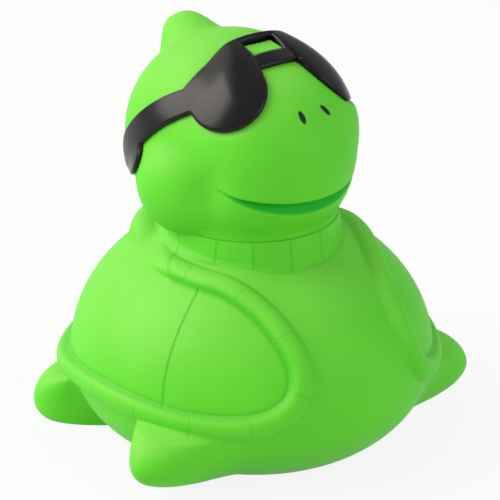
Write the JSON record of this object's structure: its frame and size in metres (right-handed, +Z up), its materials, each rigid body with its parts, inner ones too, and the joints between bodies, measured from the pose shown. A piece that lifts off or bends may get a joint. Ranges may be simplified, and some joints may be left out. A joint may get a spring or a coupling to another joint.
{
  "type": "squeaky bath toy",
  "caption": "Hollow soft-vinyl bath toy shaped as a turtle in dark sunglasses; it is squeezed from the top and a reed plug in the flat base squeaks.",
  "frame": {"origin": "middle of the flat base, under the neck", "axes": "+Z up through the neck, -Y the way the toy faces, +X to the toy's left"},
  "size_m": [0.088, 0.0801, 0.0882],
  "materials": {
    "green_vinyl": "satin",
    "black_plastic": "gloss",
    "ivory_plastic": "satin",
    "amber_film": "satin"
  },
  "bodies": {
    "body": {"body_skin": "green_vinyl", "squeaker_housing": "ivory_plastic", "squeaker_grille": "ivory_plastic", "reed_seat": "ivory_plastic", "reed_clamp": "ivory_plastic"},
    "head": {"head_skin": "green_vinyl", "sunglasses": "black_plastic"},
    "reed": {"squeaker_reed": "amber_film"}
  },
  "joints": [
    {"name": "squeeze", "type": "slide", "parent": "body", "child": "head", "axis": [0, 0, -1], "range_m": [0, 0.01], "stiffness_N_per_m": 1200, "deforming": ["body_skin"]},
    {"name": "reed", "type": "hinge", "parent": "body", "child": "reed", "pos_m": [0, 0.00015, 0.01224], "axis": [1, 0, 0], "range_deg": [0, 8]}
  ]
}
